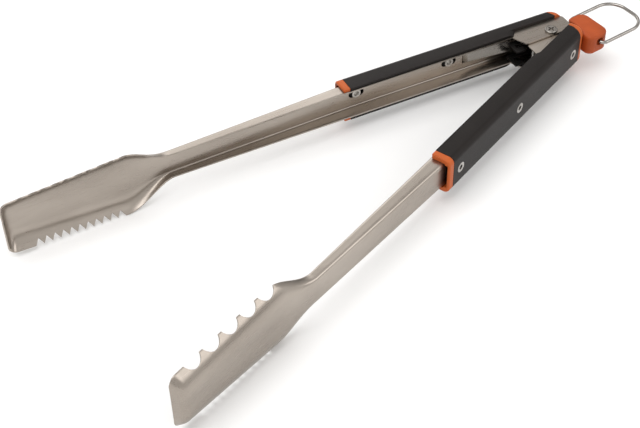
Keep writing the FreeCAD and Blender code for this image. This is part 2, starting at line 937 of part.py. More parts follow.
def lock_plate(name, sign):
    """One of the two flat plates of the lock, with its slot over the bush and its hook."""
    body = new_body(name)
    level = (size("PlateLow") + size("PlateSheet") * 0.5) * sign
    outline = polygon(body, "XY_Plane", plan(ARM_A, [
        ("PlateTail", -size("PlateTailHalf")),
        ("PlateTail", "PlateTailHalf"),
        ("PlateBodyRear", "PlateTailHalf"),
        ("PlateShoulderRear", "PlateShoulder"),
        ("PlateShoulderFront", "PlateShoulder"),
        ("PlateBodyFront", "ShankHigh"),
        ("HookFront", "ShankHigh"),
        ("HookFront", "HookBottom"),
        ("HookBeak", "HookBottom"),
        ("HookBeak", "HookBeakTop"),
        ("HookInner", "HookBeakTop"),
        ("HookInner", "ShankLow"),
        ("PlateBodyFront", "ShankLow"),
        ("PlateBodyFront", -size("PlateBodyHalf")),
        ("PlateBodyRear", -size("PlateBodyHalf")),
        ("PlateBodyRear", -size("PlateTailHalf")),
    ]), level)
    pad(body, outline, "PlateSheet")
    reach = size("BushRadius") + size("GuideFit")
    ends = [(size(0), size(0)), (-size("LockTravel"), size(0))]
    for centre in ends:
        pocket(body, circles(body, "XY_Plane", [centre], reach, level), 3)
    middle = polygon(body, "XY_Plane", [
        (size(0), -reach), (size(0), reach), (-size("LockTravel"), reach),
        (-size("LockTravel"), -reach),
    ], level)
    pocket(body, middle, 3)
    dowel_hole = [(-size("DowelAlong"), size(0))]
    pocket(body, circles(body, "XY_Plane", dowel_hole, "DowelRadius", level), 3)
    return body


def catch_pin():
    """Cross pin between the ears of arm b, which the hooks of the lock catch."""
    seat = number("HalfWidthB") - number("Sheet")
    base = arm_point(ARM_B, number("CatchAlong"), number("CatchOut"), -seat)
    return Part.makeCylinder(number("CatchRadius"), 2 * seat, base)


def tab_placement():
    """Where the tab sits in the frame of arm a: its own x runs rearwards, its y across."""
    centre = arm_point(ARM_A, number("TabAlong"), number("TabOut"), 0)
    return Placement(centre, Rotation(Vector(0, 0, 1), number("TabTurn")))


def lock_tab():
    """Orange pull tab around the tails of the lock plates, hollowed towards the pivot."""
    wide = number("TabHalfWidth")
    rear = number("TabRear")
    front = number("TabFront")
    low = number("TabLow")
    tall = number("TabHigh") - low
    block = Part.makeBox(rear - front, 2 * wide, tall, Vector(front, -wide, low))
    for end, corner in ((rear, "TabCorner"), (front, "TabFrontCorner")):
        upright_edges = []
        for edge in block.Edges:
            if runs_along_z(edge) and near(edge.BoundBox.Center.x, end):
                upright_edges.append(edge)
        block = block.makeFillet(number(corner), upright_edges)
    pivot = tab_placement().inverse().multVec(Vector(0, 0, 0))
    hollow = Part.makeCylinder(number("TabHollow"), tall + 2, pivot + Vector(0, 0, low - 1))
    block = block.cut(hollow)
    noses = []
    for edge in block.Edges:
        away = edge.BoundBox.Center - pivot
        if runs_along_z(edge) and near(math.hypot(away.x, away.y), number("TabHollow")):
            noses.append(edge)
    block = block.makeFillet(number("TabNose"), noses)
    rims = []
    for edge in block.Edges:
        box = edge.BoundBox
        if near(box.ZMin, box.ZMax):
            rims.append(edge)
    block = block.makeFillet(number("TabSoft"), rims)
    cutters = []
    level = number("LoopHigh")
    bore = number("WireRadius") + number("PivotClearance")
    inner = number("LoopInner") - number("BoreSpare")
    for sign in (1, -1):
        base = Vector(0, sign * inner, level)
        axis = Vector(0, sign, 0)
        cutters.append(Part.makeCylinder(bore, wide, base, axis))
        mouth = Vector(0, sign * (wide - number("HoleRecessDepth")), level)
        cutters.append(Part.makeCylinder(number("HoleRecess"), 5, mouth, axis))
    tab = block.cut(cutters)
    tab.Placement = tab_placement()
    bottom = number("PlateLow")
    thick = number("PlateSheet")
    half = number("PlateTailHalf")
    tail = number("PlateTail")
    seats = [dowel()]
    for under in (bottom, -bottom - thick):
        seats.append(Part.makeBox(-tail, 2 * half, thick, Vector(0, -half, under)))
    return tab.cut(seats)


def dowel():
    """Steel pin that ties both plates into the tab."""
    reach = number("PlateLow") + number("PlateSheet")
    base = Vector(-number("DowelAlong"), 0, -reach)
    return Part.makeCylinder(number("DowelRadius"), 2 * reach, base)


def hanging_loop():
    """Wire loop whose turned-in ends sit in the tab's side holes."""
    far = number("LoopFar")
    level = number("LoopHigh")
    half = number("LoopHalf")
    inner = number("LoopInner")
    corners = [(0, inner), (0, half), (far, half), (far, -half), (0, -half), (0, -inner)]
    place = tab_placement()
    points = [place.multVec(Vector(along, across, level)) for along, across in corners]
    bends = [number("LoopNearBend"), number("LoopFarBend"), number("LoopFarBend"),
             number("LoopNearBend")]
    path = Part.Wire(rounded_path(points, bends))
    axis = place.Rotation.multVec(Vector(0, 1, 0))
    ring = Part.Circle(points[0], axis, number("WireRadius")).toShape()
    return path.makePipeShell([Part.Wire(ring)], True, False)


# ---------------------------------------------------------------- assembly and export

PLACED = []


def put(feature, side):
    """Keep a finished piece with the arm it belongs to; 0 means the spring's middle plane."""
    PLACED.append((feature, side))


for arm in (ARM_A, ARM_B):
    letter = LETTER[arm]
    put(shape_feature("arm_%s_channel" % letter, arm_channel(arm)), arm)
    put(grip_cover(arm), arm)
    put(front_trim(arm), arm)
    put(rear_trim(arm), arm)
    put(shape_feature("grip_%s_rivets" % letter, rivets(arm)), arm)
put(shape_feature("pivot_screw", pivot_screw()), ARM_A)
put(shape_feature("pivot_sleeve", pivot_sleeve()), ARM_A)
put(shape_feature("pivot_bush", pivot_bush()), ARM_A)
put(shape_feature("leaf_spring", leaf_spring()), 0)
put(lock_plate("lock_plate_upper", 1), ARM_A)
put(lock_plate("lock_plate_lower", -1), ARM_A)
put(shape_feature("lock_dowel", dowel()), ARM_A)
put(shape_feature("lock_tab", lock_tab()), ARM_A)
put(shape_feature("catch_pin", catch_pin()), ARM_B)
put(shape_feature("hanging_loop", hanging_loop()), ARM_A)
doc.recompute()

for feature, arm in PLACED:
    feature.Placement = Placement(Vector(0, 0, 0), swing(arm))
doc.recompute()

whole = FreeCAD.BoundBox()
for feature, arm in PLACED:
    whole.add(feature.Shape.optimalBoundingBox(False))
base = Vector(whole.Center.x, whole.Center.y, whole.ZMin)
for feature, arm in PLACED:
    feature.Placement = Placement(-base, swing(arm))
doc.recompute()

for item in doc.Objects:
    if "Invalid" in item.State or "Error" in item.State:
        raise RuntimeError("%s failed: %s" % (item.Label, item.State))
for feature, arm in PLACED:
    shape = feature.Shape
    if shape.isNull() or not shape.isValid():
        raise RuntimeError("%s has no valid shape" % feature.Label)
    shape.exportStep("parts/%s.step" % feature.Label)
    print("%-22s %10.1f mm3 %3d solids" % (feature.Label, shape.Volume, len(shape.Solids)))
print("pivot axis at x %.4f y %.4f, floor %.4f below it" % (-base.x, -base.y, -base.z))
print("size %.2f x %.2f x %.2f" % (whole.XLength, whole.YLength, whole.ZLength))
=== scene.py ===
import json
import math

import bmesh
import bpy
from mathutils import Matrix, Vector


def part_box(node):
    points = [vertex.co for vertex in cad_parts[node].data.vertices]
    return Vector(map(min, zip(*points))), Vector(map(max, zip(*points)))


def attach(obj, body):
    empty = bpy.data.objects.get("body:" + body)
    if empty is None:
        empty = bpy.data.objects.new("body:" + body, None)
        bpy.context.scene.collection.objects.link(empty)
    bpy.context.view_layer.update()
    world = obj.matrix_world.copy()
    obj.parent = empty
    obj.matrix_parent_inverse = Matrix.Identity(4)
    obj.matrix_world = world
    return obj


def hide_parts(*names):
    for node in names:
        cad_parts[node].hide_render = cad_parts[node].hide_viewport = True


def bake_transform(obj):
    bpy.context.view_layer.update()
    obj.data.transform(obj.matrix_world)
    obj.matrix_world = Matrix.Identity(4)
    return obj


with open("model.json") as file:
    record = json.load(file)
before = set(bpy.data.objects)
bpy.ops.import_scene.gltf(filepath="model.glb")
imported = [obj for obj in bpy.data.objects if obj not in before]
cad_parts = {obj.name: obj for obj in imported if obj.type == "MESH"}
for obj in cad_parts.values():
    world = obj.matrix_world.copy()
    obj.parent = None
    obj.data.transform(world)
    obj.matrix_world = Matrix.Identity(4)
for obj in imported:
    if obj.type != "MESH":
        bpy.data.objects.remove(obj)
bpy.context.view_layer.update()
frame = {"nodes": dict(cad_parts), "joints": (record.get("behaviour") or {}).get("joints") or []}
NODES = frame["nodes"]
JOINTS = {joint["name"]: joint for joint in frame["joints"]}
PIVOT = Vector(JOINTS["arm_hinge"]["pos_m"])
LOOP_HINGE = Vector(JOINTS["loop_hinge"]["pos_m"])
LOOP_AXIS = Vector(JOINTS["loop_hinge"]["axis"]).normalized()

MM = 0.001
ARM_A = 1
ARM_B = -1
LETTER = {ARM_A: "a", ARM_B: "b"}
BODY = {ARM_A: "arm_a", ARM_B: "arm_b"}
OPENING = math.radians(13.16)

# Lengths are in millimetres and angles in degrees, as in the CAD model.

# The pressed sheet, and the rounding of its cut edges.
SHEET = 1.0
RIM = 0.2

# Stations along the arm from the pivot. The modelled jaw takes over from the CAD channel at the
# seam, which the front trim hides.
SEAM = 157.0
KNEE = 151.0
NECK = 286.0
LOBE = 320.0
LIP = 393.8

# At the knee, neck, lobe and lip: how far out the back and the edges lie, and half the width.
KNEE_BACK, NECK_BACK, LOBE_BACK, JAW_BACK = 15.9, 10.5, 8.2, 5.7
KNEE_EDGE, NECK_EDGE, LOBE_EDGE, JAW_EDGE = 5.4, 4.2, 0.9, -2.4
KNEE_HALF = {ARM_A: 11.3, ARM_B: 10.0}
NECK_HALF, LOBE_HALF, JAW_HALF = 9.9, 24.8, 21.2

# The channel's bends are tight and its sides upright. The jaw's are wide, and its sides lean.
BEND_RADIUS, UPRIGHT = 2.2, 90.0
CURL_RADIUS, CURL_LEAN = 15.0, 50.0
LIP_RADIUS, LIP_LEAN = 7.0, 72.0
TIP_CORNER = 6.0

# Round bites in the upper rim, whose corners are eased over the cusp, and teeth in the lower rim.
SCALLOP_FIRST, SCALLOP_PITCH, SCALLOP_COUNT = 382.9, 15.05, 5
SCALLOPS = [SCALLOP_FIRST - SCALLOP_PITCH * index for index in range(SCALLOP_COUNT)]
SCALLOP_RADIUS, SCALLOP_DEPTH, CUSP = 6.2, 3.9, 3.6
TOOTH_FIRST, TOOTH_PITCH, TOOTH_DEPTH, TEETH = 378.5, 5.56, 2.9, 11

# Spacing of the jaw's rings along the arm, and how many steps each stretch of a ring has.
ARM_STEP, FLARE_STEP, JAW_STEP = 6.0, 0.8, 0.32
SLOPE_REACH = 0.5
FLAT_STEPS, CURVE_STEPS, SIDE_STEPS = 4, 9, 5
SIDE_LEAST = 0.8
LIP_CURVE_STEPS, LIP_FLAT_STEPS = 14, 9

# Head of the pivot screw: radial places are shares of its radius.
HEAD_RADIUS, HEAD_HEIGHT = 4.6, 1.6
HEAD_TURNS = 144
HEAD_SHARES = [0.02, 0.12, 0.2, 0.28, 0.34, 0.4, 0.46, 0.5, 0.56, 0.62, 0.68, 0.73]
HEAD_SHARES += [0.76, 0.79, 0.82, 0.85, 0.88, 0.92, 0.96, 0.985, 1.0]
HEAD_ROUND_FROM, HEAD_ROUND = 0.9, 0.5
GROOVE_FROM, GROOVE_TO, GROOVE_DEPTH = 0.74, 0.84, 0.35
DISH_DEPTH, DISH_SLOPE = 0.12, 0.10
CROSS_HALF, CROSS_TAPER, CROSS_TAPER_LENGTH = 0.62, 0.12, 2.2
CROSS_REACH, CROSS_DEPTH = 2.3, 0.9

# Hanging loop, measured from its hinge: its half width, its inner ends and its far end.
WIRE_RADIUS = 1.25
LOOP_HALF, LOOP_END, LOOP_FAR = 17.6, 8.5, 42.4
LOOP_NEAR_BEND, LOOP_FAR_BEND = 4.0, 13.5
LOOP_BEND_STEPS = 12

# Edges sharper than these angles stay sharp on the CAD's, the jaws' and the screw's surfaces.
CAD_SHARP, SWEPT_SHARP, HEAD_SHARP = 34, 60, 40

# Points nearer than the weld are joined, and faces flatter than the angle are made one.
FLAT_ANGLE = 0.4
WELD = 0.002

# Noise lies mostly between these values.
NOISE_LOW, NOISE_HIGH = 0.3, 0.7

# Brushed and polished steel: how finely the pattern repeats along, across and up, and its relief.
BRUSH_LINES = (60.0, 1700.0, 1700.0)
BRUSH_CLOUDS = (14.0, 40.0, 40.0)
BRUSH_RELIEF, BRUSH_DEPTH = 0.06, 0.05 * MM

# Depth of the moulded grain.
GRAIN_DEPTH = 0.1 * MM

# Sockets of a Mix node that mixes colours.
MIX_FACTOR, MIX_FIRST, MIX_SECOND, MIX_RESULT = 0, 6, 7, 2

# Studio, in metres: the floor's profile from front to back, and the lamps' aim.
FLOOR_HALF = 2.5
FLOOR_PROFILE = ((-2.5, 0.0), (1.6, 0.0), (2.1, 0.12), (2.4, 0.5), (2.5, 1.6))
FLOOR_GAP = 0.0002
LAMP_AIM = (0.0, 0.0, 0.02)

# Brightness of the room from straight down (0) to straight up (1), and its tint.
FRONT_ROOM = ((0.0, 0.8), (0.46, 1.0), (0.55, 1.05), (0.7, 1.05), (1.0, 0.95))
BACK_ROOM = ((0.0, 0.4), (0.46, 0.16), (0.6, 0.12), (0.75, 0.8), (1.0, 0.95))
ROOM_TINT = (1.0, 0.985, 0.965)
ROOM_STRENGTH = 0.8

# Camera: the way it looks, its roll, its lens and its place from the pivot.
AZIMUTH, ELEVATION, ROLL = -38.893, 43.946, -1.4576
LENS, SENSOR_WIDTH, CLIP_START = 75.66, 36.0, 10.0
CAMERA_PLACE = (-611.510, -493.964, 578.298)


# ---------------------------------------------------------------- small helpers


def swing(side):
    """Turn from the middle line to an arm at rest."""
    return Matrix.Rotation(-side * OPENING, 3, "Z")


def arm_point(side, along, out, up):
    """A point in the row frame, from millimetres along, out of and above the pivot."""
    return PIVOT + swing(side) @ (Vector((-along, side * out, up)) * MM)


def between(start, end, share):
    return start + (end - start) * share


def smooth(value):
    """Ease in and out between 0 and 1."""
    value = min(max(value, 0.0), 1.0)
    return value * value * (3 - 2 * value)


def new_object(name, points, faces, material, sharp):
    """Object made from a list of points and the faces between them."""
    mesh = bpy.data.meshes.new(name)
    mesh.from_pydata([tuple(point) for point in points], [], faces)
    return finish_mesh(name, mesh, material, sharp)


def finish_mesh(name, mesh, material, sharp):
    """Object with shared normals except across edges sharper than the angle."""
    work = bmesh.new()
    work.from_mesh(mesh)
    bmesh.ops.recalc_face_normals(work, faces=work.faces)
    work.to_mesh(mesh)
    work.free()
    mesh.polygons.foreach_set("use_smooth", [True] * len(mesh.polygons))
    mesh.set_sharp_from_angle(angle=math.radians(sharp))
    mesh.materials.clear()
    mesh.materials.append(material)
    item = bpy.data.objects.new(name, mesh)
    bpy.context.scene.collection.objects.link(item)
    return item


def bands(rows, count, first=0):
    """Four-sided faces that join closed rings of points, each ring to the next."""
    faces = []
    for row in range(rows - 1):
        near = first + row * count
        far = near + count
        for place in range(count):
            onward = (place + 1) % count
            faces.append((near + place, near + onward, far + onward, far + place))
    return faces


def add_bevel(item, width, segments):
    """Rounds the sharp edges, to a width in millimetres."""
    bevel = item.modifiers.new("soft_edges", "BEVEL")
    bevel.width = width * MM
    bevel.segments = segments
    bevel.limit_method = "ANGLE"
    bevel.angle_limit = math.radians(CAD_SHARP)
    bevel.use_clamp_overlap = True
    bevel.harden_normals = True


def welded_copy(node):
    """The node's own mesh with its doubled points joined and its flat faces made whole."""
    mesh = NODES[node].data.copy()
    if "custom_normal" in mesh.attributes:
        mesh.attributes.remove(mesh.attributes["custom_normal"])
    work = bmesh.new()
    work.from_mesh(mesh)
    bmesh.ops.remove_doubles(work, verts=work.verts, dist=WELD * MM)
    bmesh.ops.dissolve_limit(
        work, angle_limit=math.radians(FLAT_ANGLE), verts=work.verts, edges=work.edges
    )
    work.to_mesh(mesh)
    work.free()
    return mesh


def refined(node, material, body, width):
    """The CAD node's shape with edges softened to a width, and its real finish."""
    piece = finish_mesh(node + "_finish", welded_copy(node), material, CAD_SHARP)
    add_bevel(piece, width, segments=3)
    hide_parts(node)
    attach(piece, body)


# ---------------------------------------------------------------- materials


class Shader:
    """A node material with a few shorthands for linking its nodes."""

    def __init__(self, name):
        self.material = bpy.data.materials.new(name)
        self.material.use_nodes = True
        self.tree = self.material.node_tree
        self.surface = self.tree.nodes["Principled BSDF"]
        self.place = self.tree.nodes.new("ShaderNodeTexCoord").outputs["Object"]

    def set(self, **values):
        """Plain values of the surface, with underscores for the spaces in their names."""
        for name, value in values.items():
            self.surface.inputs[name.replace("_", " ")].default_value = value

    def node(self, kind, **inputs):
        """A new node, each of whose inputs is given a value or linked to a socket."""
        item = self.tree.nodes.new(kind)
        for name, value in inputs.items():
            socket = item.inputs[name.replace("_", " ")]
            if isinstance(value, bpy.types.NodeSocket):
                self.tree.links.new(value, socket)
            else:
                socket.default_value = value
        return item

    def mapped(self, turn, scale):
        """Object coordinates turned about Z and stretched."""
        turned = self.node("ShaderNodeMapping", Vector=self.place)
        turned.inputs["Rotation"].default_value = (0, 0, turn)
        stretched = self.node("ShaderNodeMapping", Vector=turned.outputs[0])
        stretched.inputs["Scale"].default_value = scale
        return stretched.outputs[0]

    def noise(self, place, scale, detail, rough=0.5):
        item = self.node(
            "ShaderNodeTexNoise", Vector=place, Scale=scale, Detail=detail, Roughness=rough
        )
        return item.outputs["Fac"]

    def ramp(self, value, *stops):
        item = self.node("ShaderNodeValToRGB", Fac=value)
        items = item.color_ramp.elements
        while len(items) < len(stops):
            items.new(0.5)
        for element, (position, colour) in zip(items, stops):
            element.position = position
            element.color = tuple(colour) + (1.0,)
        return item.outputs["Color"]

    def clouded(self, noise, dark, light):
        """Base colour that wanders between a darker and a lighter shade."""
        return self.ramp(noise, (NOISE_LOW, dark), (NOISE_HIGH, light))

    def spread(self, value, limits):
        """Noise moved to run between two limits."""
        item = self.node("ShaderNodeMapRange", Value=value)
        item.inputs["From Min"].default_value = NOISE_LOW
        item.inputs["From Max"].default_value = NOISE_HIGH
        item.inputs["To Min"].default_value = limits[0]
        item.inputs["To Max"].default_value = limits[1]
        return item.outputs[0]

    def blend(self, kind, factor, first, second):
        item = self.tree.nodes.new("ShaderNodeMix")
        item.data_type = "RGBA"
        item.blend_type = kind
        for socket, value in ((MIX_FACTOR, factor), (MIX_FIRST, first), (MIX_SECOND, second)):
            if isinstance(value, bpy.types.NodeSocket):
                self.tree.links.new(value, item.inputs[socket])
            else:
                item.inputs[socket].default_value = value
        return item.outputs[MIX_RESULT]

    def bump(self, height, strength, distance):
        item = self.node("ShaderNodeBump", Height=height, Strength=strength)
        item.inputs["Distance"].default_value = distance
        self.tree.links.new(item.outputs[0], self.surface.inputs["Normal"])

    def link(self, value, name):
        self.tree.links.new(value, self.surface.inputs[name])


def brushed_steel(name, turn, dark, light, rough):
    """Fine lines along the part, faint cloudy smudges and a satin sheen."""
    shade = Shader(name)
    along = shade.mapped(turn, BRUSH_LINES)
    lines = shade.noise(along, scale=1.0, detail=2.0, rough=0.55)
    cloud = shade.noise(shade.mapped(turn, BRUSH_CLOUDS), scale=1.0, detail=3.0)
    base = shade.clouded(cloud, dark, light)
    streak = shade.ramp(lines, (0.25, (0.9, 0.9, 0.9)), (0.75, (1.0, 1.0, 1.0)))
    shade.link(shade.blend("MULTIPLY", 0.6, base, streak), "Base Color")
    shade.link(shade.spread(shade.blend("MIX", 0.4, lines, cloud), rough), "Roughness")
    shade.set(Metallic=1.0, Anisotropic=0.35)
    shade.bump(lines, BRUSH_RELIEF, BRUSH_DEPTH)
    return shade.material


def moulded_plastic(name, dark, light, rough, grain, relief):
    """Moulded plastic with a fine spark-eroded grain and faint uneven sheen."""
    shade = Shader(name)
    cells = shade.noise(shade.place, scale=grain, detail=2.0, rough=0.6)
    cloud = shade.noise(shade.place, scale=45.0, detail=3.0)
    shade.link(shade.clouded(cloud, dark, light), "Base Color")
    shade.link(shade.spread(cells, rough), "Roughness")
    shade.set(Specular_IOR_Level=0.25, Specular_Tint=(1.0, 0.92, 0.89, 1.0))
    shade.bump(cells, relief, GRAIN_DEPTH)
    return shade.material


def polished_steel(name, dark, light, rough):
    """Turned or drawn steel with faint marks."""
    shade = Shader(name)
    marks = shade.noise(shade.place, scale=700.0, detail=4.0, rough=0.6)
    cloud = shade.noise(shade.place, scale=160.0, detail=2.0)
    shade.link(shade.clouded(cloud, dark, light), "Base Color")
    shade.link(shade.spread(marks, rough), "Roughness")
    shade.set(Metallic=1.0)
    shade.bump(marks, BRUSH_RELIEF, BRUSH_DEPTH)
    return shade.material


STEEL = {}
for arm in (ARM_A, ARM_B):
    STEEL[arm] = brushed_steel(
        "pressed_steel_" + LETTER[arm],
        turn=arm * OPENING,
        dark=(0.33, 0.29, 0.253),
        light=(0.44, 0.392, 0.346),
        rough=(0.24, 0.36),
    )
GRIP = moulded_plastic(
    "grip_plastic",
    dark=(0.0050, 0.0038, 0.0035),
    light=(0.0082, 0.0064, 0.0059),
    rough=(0.40, 0.54),
    grain=2600.0,
    relief=0.22,
)
TRIM = moulded_plastic(
    "trim_plastic",
    dark=(0.40, 0.078, 0.014),
    light=(0.48, 0.10, 0.02),
    rough=(0.36, 0.48),
    grain=1800.0,
    relief=0.10,
)
TAB = moulded_plastic(
    "tab_plastic",
    dark=(0.27, 0.044, 0.009),
    light=(0.41, 0.074, 0.016),
    rough=(0.42, 0.58),
    grain=1100.0,
    relief=0.45,
)
BUSH = moulded_plastic(
    "bush_plastic",
    dark=(0.012, 0.012, 0.012),
    light=(0.02, 0.02, 0.02),
    rough=(0.4, 0.55),
    grain=2000.0,
    relief=0.1,
)
# The lock's plates get a near-black matt colour: painted shade of the hollow by the pivot.
LOCK_PAINTED_SHADE = moulded_plastic(
    "lock_steel",
    dark=(0.004, 0.0036, 0.0034),
    light=(0.007, 0.0064, 0.006),
    rough=(0.45, 0.6),
    grain=1500.0,
    relief=0.15,
)
RIVET = polished_steel(
    "rivet_steel", dark=(0.40, 0.38, 0.355), light=(0.52, 0.50, 0.47), rough=(0.24, 0.38)
)
SCREW = polished_steel(
    "screw_steel", dark=(0.27, 0.25, 0.23), light=(0.40, 0.375, 0.345), rough=(0.2, 0.32)
)
PIN = polished_steel(
    "pin_steel", dark=(0.4, 0.39, 0.37), light=(0.5, 0.48, 0.46), rough=(0.25, 0.4)
)
WIRE = polished_steel(
    "wire", dark=(0.29, 0.27, 0.25), light=(0.38, 0.36, 0.34), rough=(0.12, 0.2)
)
SPRING = brushed_steel(
    "spring_steel", turn=0.0, dark=(0.32, 0.30, 0.27), light=(0.42, 0.39, 0.36), rough=(0.2, 0.32)
)


# ---------------------------------------------------------------- pressed jaws


class Section:
    """One cross-section of the sheet: flat behind, bent round, straight to the rim."""

    def __init__(self, half, back, edge, radius, lean):
        self.half = half
        self.back = back
        self.edge = edge
        self.radius = radius
        self.angle = math.radians(lean)
        turned = radius * (1 - math.cos(self.angle))
        straight = (back - edge - turned) / math.sin(self.angle)
        self.flat = half - radius * math.sin(self.angle) - straight * math.cos(self.angle)
        self.bend_end = self.flat + radius * self.angle
        self.rim = self.bend_end + straight

    def at(self, run):
        """(up, drop, turn) at a distance measured round the sheet from its middle."""
        if run <= self.flat:
            return run, 0.0, 0.0
        turn = min((run - self.flat) / self.radius, self.angle)
        up = self.flat + self.radius * math.sin(turn)
        drop = self.radius * (1 - math.cos(turn))
        rest = max(run - self.bend_end, 0.0)
        return up + rest * math.cos(turn), drop + rest * math.sin(turn), turn

    def reach(self, limit):
        """The distance round the sheet at which its height is the limit."""
        if limit >= self.half:
            return self.rim
        bend_up = self.flat + self.radius * math.sin(self.angle)
        if limit >= bend_up:
            return self.bend_end + (limit - bend_up) / math.cos(self.angle)
        return self.flat + self.radius * math.asin((limit - self.flat) / self.radius)


def section_values(side, along):
    """Half width, back, edge, bend radius and lean of the section at a station."""
    if along <= NECK:
        share = (along - KNEE) / (NECK - KNEE)
        half = between(KNEE_HALF[side], NECK_HALF, share)
        back = between(KNEE_BACK, NECK_BACK, share)
        return half, back, between(KNEE_EDGE, NECK_EDGE, share), BEND_RADIUS, UPRIGHT
    if along <= LOBE:
        flare = (along - NECK) / (LOBE - NECK)
        share = smooth(flare)
        half = between(NECK_HALF, LOBE_HALF, share)
        back = between(NECK_BACK, LOBE_BACK, flare)
        edge = between(NECK_EDGE, LOBE_EDGE, flare)
        radius = between(BEND_RADIUS, CURL_RADIUS, share)
        return half, back, edge, radius, between(UPRIGHT, CURL_LEAN, share)
    jaw = min((along - LOBE) / (LIP - LOBE), 1.0)
    half = between(LOBE_HALF, JAW_HALF, jaw)
    edge = between(LOBE_EDGE, JAW_EDGE, jaw)
    return half, between(LOBE_BACK, JAW_BACK, jaw), edge, CURL_RADIUS, CURL_LEAN


def upper_limit(along, half):
    """How high the upper rim stands, with the round bites taken out of it."""
    limit = half
    for centre in SCALLOPS:
        away = abs(along - centre)
        if away < SCALLOP_RADIUS:
            middle = half - SCALLOP_DEPTH + SCALLOP_RADIUS
            bite = middle - math.sqrt(SCALLOP_RADIUS**2 - away**2)
            # The nearer to the bite's corner, the more the rim is lowered, which rounds it.
            nearness = max(CUSP - abs(half - bite), 0.0) / CUSP
            limit = min(limit, bite) - nearness**2 * CUSP / 4
    return limit


def lower_limit(along, half):
    """How far the lower rim reaches, with the notches between its teeth."""
    place = (TOOTH_FIRST + TOOTH_PITCH - along) / TOOTH_PITCH
    if place < 0 or place > TEETH:
        return half
    return half - TOOTH_DEPTH * (1 - 2 * abs(place % 1.0 - 0.5))


def rounds(section, limit):
    """Distances round the sheet at which one half of a row has its points."""
    end = section.reach(limit)
    turn = min(section.bend_end, end - SIDE_LEAST)
    runs = [section.flat * step / FLAT_STEPS for step in range(FLAT_STEPS)]
    runs += [between(section.flat, turn, step / CURVE_STEPS) for step in range(CURVE_STEPS + 1)]
    runs += [between(turn, end - RIM, step / SIDE_STEPS) for step in range(1, SIDE_STEPS + 1)]
    return runs, end


def ring(side, along, section, limits, pitch, fall=0.0, pinch=0.0):
    """Closed ring of points round both skins of the sheet at one distance along the arm.

    The limits are the heights of the lower and upper rims. The pitch is the back's slope along
    the arm, the fall is how far the lip has turned the back in, and the pinch thins the sheet.
    """
    depth = section.back - section.edge
    kept = 1 - fall / depth

    def point(run, sign, inward):
        up, drop, turn = section.at(run)
        out = section.edge + (depth - drop) * kept
        normal = Vector((
            -math.cos(turn) * math.sin(pitch),
            -math.cos(turn) * math.cos(pitch),
            -math.sin(turn) * kept * math.cos(pitch),
        )).normalized() * inward
        return arm_point(side, along + normal.x, out + normal.y, sign * (up + normal.z))

    low, low_end = rounds(section, limits[0])
    high, high_end = rounds(section, limits[1])
    path = [(run, -1) for run in reversed(low[1:])] + [(run, 1) for run in high]
    points = [point(run, sign, pinch) for run, sign in path]
    points += [point(high_end, 1, RIM), point(high_end, 1, SHEET - RIM)]
    points += [point(run, sign, SHEET - pinch) for run, sign in reversed(path)]
    points += [point(low_end, -1, SHEET - RIM), point(low_end, -1, RIM)]
    return points


def spaced(start, end, step):
    """Even stations from the start up to the end, which is left out."""
    count = max(int(math.ceil((end - start) / step)), 1)
    return [between(start, end, index / count) for index in range(count)]


def stations():
    """Distances along the arm, from the seam to the lip, at which the jaw has a ring."""
    places = spaced(SEAM, NECK, ARM_STEP) + spaced(NECK, LOBE, FLARE_STEP)
    places += spaced(LOBE, LIP, JAW_STEP) + [LIP]
    teeth = [TOOTH_FIRST + TOOTH_PITCH * (1 - index / 2) for index in range(2 * TEETH + 1)]
    return sorted(set(places + [place for place in teeth if LOBE < place < LIP]))


def lip_path():
    """(along, fall, pitch) at each ring of the lip, which turns in and then runs straight."""
    full = math.radians(LIP_LEAN)
    turned = LIP_RADIUS * (1 - math.cos(full))
    straight = (JAW_BACK - JAW_EDGE - turned) / math.sin(full)
    path = []
    for step in range(1, LIP_CURVE_STEPS + 1):
        pitch = full * step / LIP_CURVE_STEPS
        path.append((LIP + LIP_RADIUS * math.sin(pitch), LIP_RADIUS * (1 - math.cos(pitch)), pitch))
    runs = [straight * step / LIP_FLAT_STEPS for step in range(1, LIP_FLAT_STEPS)]
    for run in runs + [straight - RIM, straight]:
        along = LIP + LIP_RADIUS * math.sin(full) + run * math.cos(full)
        path.append((along, turned + run * math.sin(full), full))
    return path


def jaw_rings(side):
    """Rings from the seam under the front trim to the edge of the lip."""
    rings = []
    for along in stations():
        section = Section(*section_values(side, along))
        back_before = section_values(side, along - SLOPE_REACH)[1]
        back_after = section_values(side, along + SLOPE_REACH)[1]
        pitch = math.atan((back_before - back_after) / (2 * SLOPE_REACH))
        limits = (lower_limit(along, section.half), upper_limit(along, section.half))
        rings.append(ring(side, along, section, limits, pitch))
    path = lip_path()
    tip = path[-1][0]
    for along, fall, pitch in path:
        past = max(TIP_CORNER - (tip - along), 0.0)
        half = JAW_HALF - TIP_CORNER + math.sqrt(max(TIP_CORNER**2 - past**2, 0.0))
        section = Section(half, JAW_BACK, JAW_EDGE, CURL_RADIUS, CURL_LEAN)
        pinch = RIM if along == tip else 0.0
        rings.append(ring(side, along, section, (half, half), pitch, fall, pinch))
    return rings


def tip_faces(count, base):
    """Faces that close the last ring, whose points start at the base.

    A ring is one skin, two points round the upper rim, the other skin back again and two points
    round the lower rim.
    """
    skin = (count - 4) // 2
    faces = []
    for place in range(skin - 1):
        facing = base + 2 * skin + 1 - place
        faces.append((base + place, base + place + 1, facing - 1, facing))
    faces.append((base + skin - 1, base + skin, base + skin + 1, base + skin + 2))
    faces.append((base, base + 2 * skin + 1, base + count - 2, base + count - 1))
    return faces


